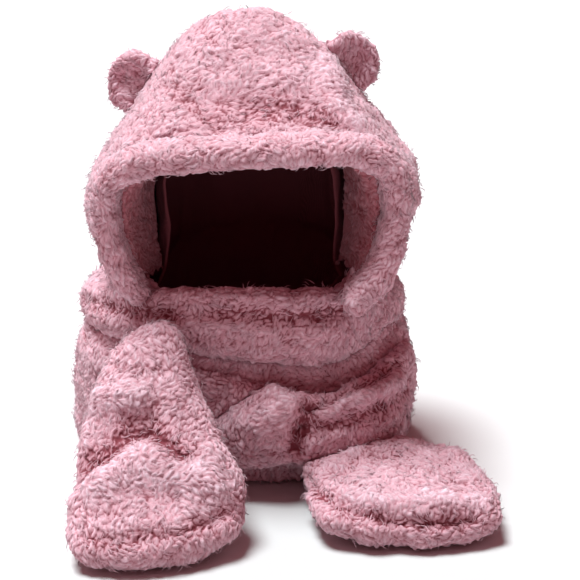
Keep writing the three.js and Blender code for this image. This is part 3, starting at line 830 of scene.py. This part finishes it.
pads = {node: padForm(node, look) for node, look in looks.items()}
allTree = meshTree([*pads.values(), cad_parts["hood_lining"]])
otherTrees = {node: meshTree([pad for other, pad in pads.items() if other != node]) for node in looks}
print("padded forms made")
total = 0
for number, (node, look) in enumerate(looks.items()):
    total += growPile(pads[node], look, allTree, otherTrees[node], seedNumbers["pile"] + number)
    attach(pads[node], "root")
    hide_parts(node)
print("pile grown,", total, "triangles")


# The loose lining: dark woven cloth with a few soft creases.
liningLook = {
    "colour": (0.15, 0.035, 0.045, 1),
    "gap": (0.05, 0.01, 0.014, 1),
    "threads": 4200.0,
    "bump": 0.4,
    "bumpDepth": 0.2,
    "roughness": 0.85,
    "specular": 0.2,
    "crease": 1.6,
    "flat": (0.46, 0.28),
}


def liningMaterial(look):
    material = bpy.data.materials.new("liningCloth")
    material.use_nodes = True
    tree = material.node_tree
    surface = tree.nodes["Principled BSDF"]
    weave = placeGroup(material, "weave", {"Threads": look["threads"]})
    colour = addMix(tree, weave.outputs["Gap"], look["colour"], look["gap"])
    tree.links.new(colour, surface.inputs["Base Color"])
    bump = addBump(material, weave.outputs["Height"], look["bump"], look["bumpDepth"] * mm)
    tree.links.new(bump, surface.inputs["Normal"])
    surface.inputs["Roughness"].default_value = look["roughness"]
    surface.inputs["Specular IOR Level"].default_value = look["specular"]
    return material


def buildLining(look):
    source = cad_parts["hood_lining"]
    cloth = link(bpy.data.objects.new("hood_lining_cloth", source.data.copy()))
    weld = cloth.modifiers.new("weld", "WELD")
    weld.merge_threshold = 0.01 * mm
    finer = cloth.modifiers.new("finer", "SUBSURF")
    finer.subdivision_type = "SIMPLE"
    finer.levels = 2
    settle(cloth)
    points, _ = readMesh(cloth.data)
    centre = points.mean(0)
    outward = unit((points - centre) * np.array([1, 1, 0.4]))
    crease = field(points * np.array([1, 1, 0.35]), seedNumbers["lining"], 0.02, 0.04)
    inside = np.clip((points[:, 1] - points[:, 1].min()) / 0.02, 0, 1)
    writePoints(cloth.data, points - outward * (np.abs(crease) * look["crease"] * mm * inside)[:, None])
    cloth.data.polygons.foreach_set("use_smooth", np.ones(len(cloth.data.polygons), bool))
    cloth.data.materials.clear()
    cloth.data.materials.append(liningMaterial(look))
    return cloth


liningCloth = buildLining(liningLook)
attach(liningCloth, "root")
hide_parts("hood_lining")
print("lining made")


# Floor, light and camera
stageLook = {
    "floor": (0.58, 0.56, 0.565, 1),
    "floorSize": 60,
    "floorPlace": (0, 4, 0),
    "world": (1.0, 0.36, 0.385, 1),
    "worldStrength": 0.3,
    "suns": [
        {"name": "key", "energy": 5.4, "angle": 24.0, "from": (-0.24, 0.04, 1.0), "colour": (0.87, 1.0, 1.0)},
        {"name": "back", "energy": 1.2, "angle": 6.0, "from": (-0.3, 0.8, 1.0), "colour": (1.0, 1.0, 1.0)},
    ],
}
cameraLook = {
    "target": (0.0114, 0.0869, 0.142),
    "distance": 1.8,
    "elevation": 18.0,
    "lens": 121.6,
    "sensor": 36,
    "reach": 60,
}


def buildStage(look):
    bpy.ops.mesh.primitive_plane_add(size=look["floorSize"], location=look["floorPlace"])
    floor = bpy.context.object
    floor.name = "floor"
    material = bpy.data.materials.new("floorPaper")
    material.use_nodes = True
    surface = material.node_tree.nodes["Principled BSDF"]
    surface.inputs["Base Color"].default_value = look["floor"]
    surface.inputs["Roughness"].default_value = 1.0
    surface.inputs["Specular IOR Level"].default_value = 0.0
    floor.data.materials.append(material)
    world = bpy.data.worlds.new("studio")
    world.use_nodes = True
    background = world.node_tree.nodes["Background"]
    background.inputs["Color"].default_value = look["world"]
    background.inputs["Strength"].default_value = look["worldStrength"]
    scene.world = world
    for row in look["suns"]:
        sun = bpy.data.lights.new(row["name"], "SUN")
        sun.energy = row["energy"]
        sun.color = row["colour"]
        sun.angle = math.radians(row["angle"])
        lamp = link(bpy.data.objects.new(row["name"], sun))
        lamp.rotation_mode = "QUATERNION"
        lamp.rotation_quaternion = Vector(row["from"]).to_track_quat("Z", "Y")


def buildCamera(look):
    data = bpy.data.cameras.new("camera")
    data.lens = look["lens"]
    data.sensor_width = look["sensor"]
    data.clip_end = look["reach"]
    camera = link(bpy.data.objects.new("camera", data))
    rise = math.radians(look["elevation"])
    away = Vector((0, -math.cos(rise), math.sin(rise)))
    camera.location = Vector(look["target"]) + away * look["distance"]
    camera.rotation_euler = (math.pi / 2 - rise, 0, 0)
    scene.camera = camera


buildStage(stageLook)
buildCamera(cameraLook)
scene.view_settings.view_transform = "Standard"
scene.view_settings.look = "None"
print("stage made")
